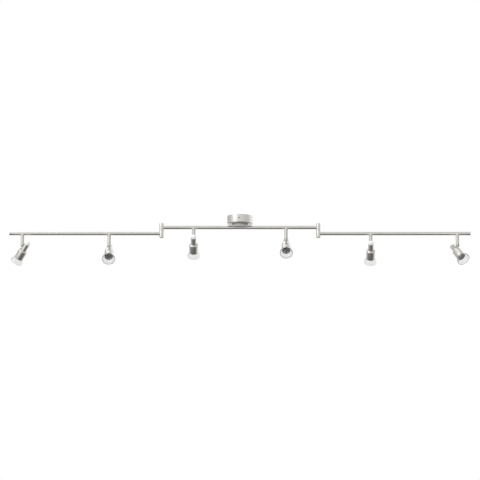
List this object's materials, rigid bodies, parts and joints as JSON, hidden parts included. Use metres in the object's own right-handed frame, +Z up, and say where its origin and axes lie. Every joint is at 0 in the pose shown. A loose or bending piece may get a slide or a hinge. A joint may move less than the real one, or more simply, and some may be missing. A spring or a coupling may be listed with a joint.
{
  "type": "ceiling spotlight bar",
  "caption": "Straight ceiling bar under a round canopy, with two swivelling end arms and small stepped spot heads that pan and tilt, each with a flared clear glass shade.",
  "frame": {"origin": "middle of the ceiling bracket's top face, where it meets the ceiling", "axes": "+X along the bar, -Y to the room's side that the fixture faces, +Z up into the ceiling"},
  "size_m": [1.7992, 0.104, 0.1944],
  "materials": {
    "satin_nickel": "satin nickel plated steel, fine brushing",
    "matte_nickel": "matte nickel paint on steel",
    "zinc_steel": "zinc plated sheet steel",
    "screw_steel": "darkened screw steel",
    "brass": "turned brass",
    "white_nylon": "moulded nylon",
    "ceramic": "steatite ceramic",
    "mirror_aluminium": "bright spun aluminium",
    "lamp_glass": "frosted lamp capsule",
    "clear_glass": "clear glass with a fire polished rim"
  },
  "bodies": {
    "bar": {"ceiling_bracket": "zinc_steel", "canopy": "satin_nickel", "terminal_block": "white_nylon", "canopy_screw_front": "screw_steel", "canopy_screw_rear": "screw_steel", "hub": "matte_nickel", "hub_nipple": "brass", "centre_tube": "satin_nickel", "left_knuckle_top": "satin_nickel", "right_knuckle_top": "satin_nickel", "left_pivot": "screw_steel", "right_pivot": "screw_steel"},
    "left_arm": {"left_knuckle_bottom": "satin_nickel", "left_arm_tube": "satin_nickel", "left_end_cap": "satin_nickel"},
    "right_arm": {"right_knuckle_bottom": "satin_nickel", "right_arm_tube": "satin_nickel", "right_end_cap": "satin_nickel"},
    "stem_1": {"spot_1_stem": "satin_nickel", "spot_1_hinge_screw": "zinc_steel"},
    "head_1": {"spot_1_housing": "satin_nickel", "spot_1_reflector": "mirror_aluminium", "spot_1_lampholder": "ceramic", "spot_1_lamp": "lamp_glass", "spot_1_glass_shade": "clear_glass"},
    "stem_2": {"spot_2_stem": "satin_nickel", "spot_2_hinge_screw": "zinc_steel"},
    "head_2": {"spot_2_housing": "satin_nickel", "spot_2_reflector": "mirror_aluminium", "spot_2_lampholder": "ceramic", "spot_2_lamp": "lamp_glass", "spot_2_glass_shade": "clear_glass"},
    "stem_3": {"spot_3_stem": "satin_nickel", "spot_3_hinge_screw": "zinc_steel"},
    "head_3": {"spot_3_housing": "satin_nickel", "spot_3_reflector": "mirror_aluminium", "spot_3_lampholder": "ceramic", "spot_3_lamp": "lamp_glass", "spot_3_glass_shade": "clear_glass"},
    "stem_4": {"spot_4_stem": "satin_nickel", "spot_4_hinge_screw": "zinc_steel"},
    "head_4": {"spot_4_housing": "satin_nickel", "spot_4_reflector": "mirror_aluminium", "spot_4_lampholder": "ceramic", "spot_4_lamp": "lamp_glass", "spot_4_glass_shade": "clear_glass"},
    "stem_5": {"spot_5_stem": "satin_nickel", "spot_5_hinge_screw": "zinc_steel"},
    "head_5": {"spot_5_housing": "satin_nickel", "spot_5_reflector": "mirror_aluminium", "spot_5_lampholder": "ceramic", "spot_5_lamp": "lamp_glass", "spot_5_glass_shade": "clear_glass"},
    "stem_6": {"spot_6_stem": "satin_nickel", "spot_6_hinge_screw": "zinc_steel"},
    "head_6": {"spot_6_housing": "satin_nickel", "spot_6_reflector": "mirror_aluminium", "spot_6_lampholder": "ceramic", "spot_6_lamp": "lamp_glass", "spot_6_glass_shade": "clear_glass"}
  },
  "joints": [
    {"name": "left_arm_swivel", "type": "hinge", "parent": "bar", "child": "left_arm", "pos_m": [-0.3058, 0, 0], "axis": [0, 0, 1], "range_deg": [-110, 110]},
    {"name": "right_arm_swivel", "type": "hinge", "parent": "bar", "child": "right_arm", "pos_m": [0.3058, 0, 0], "axis": [0, 0, 1], "range_deg": [-110, 110]},
    {"name": "spot_1_pan", "type": "hinge", "parent": "left_arm", "child": "stem_1", "pos_m": [-0.8483, 0, -0.0681], "axis": [0, 0, 1], "range_deg": [-221, 129]},
    {"name": "spot_1_tilt", "type": "hinge", "parent": "stem_1", "child": "head_1", "pos_m": [-0.8483, 0, -0.1171], "axis": [0.6947, 0.7193, 0], "range_deg": [-45, 45]},
    {"name": "spot_2_pan", "type": "hinge", "parent": "left_arm", "child": "stem_2", "pos_m": [-0.51, 0, -0.0681], "axis": [0, 0, 1], "range_deg": [-175, 175]},
    {"name": "spot_2_tilt", "type": "hinge", "parent": "stem_2", "child": "head_2", "pos_m": [-0.51, 0, -0.1171], "axis": [-1, 0, 0], "range_deg": [-45, 45]},
    {"name": "spot_3_pan", "type": "hinge", "parent": "bar", "child": "stem_3", "pos_m": [-0.1802, 0, -0.044], "axis": [0, 0, 1], "range_deg": [-175, 175]},
    {"name": "spot_3_tilt", "type": "hinge", "parent": "stem_3", "child": "head_3", "pos_m": [-0.1802, 0, -0.093], "axis": [1, 0, 0], "range_deg": [-45, 45]},
    {"name": "spot_4_pan", "type": "hinge", "parent": "bar", "child": "stem_4", "pos_m": [0.1802, 0, -0.044], "axis": [0, 0, 1], "range_deg": [-175, 175]},
    {"name": "spot_4_tilt", "type": "hinge", "parent": "stem_4", "child": "head_4", "pos_m": [0.1802, 0, -0.093], "axis": [-1, 0, 0], "range_deg": [-45, 45]},
    {"name": "spot_5_pan", "type": "hinge", "parent": "right_arm", "child": "stem_5", "pos_m": [0.51, 0, -0.0681], "axis": [0, 0, 1], "range_deg": [-175, 175]},
    {"name": "spot_5_tilt", "type": "hinge", "parent": "stem_5", "child": "head_5", "pos_m": [0.51, 0, -0.1171], "axis": [1, 0, 0], "range_deg": [-45, 45]},
    {"name": "spot_6_pan", "type": "hinge", "parent": "right_arm", "child": "stem_6", "pos_m": [0.8483, 0, -0.0681], "axis": [0, 0, 1], "range_deg": [-213, 137]},
    {"name": "spot_6_tilt", "type": "hinge", "parent": "stem_6", "child": "head_6", "pos_m": [0.8483, 0, -0.1171], "axis": [-0.788, -0.6157, 0], "range_deg": [-45, 45]}
  ]
}
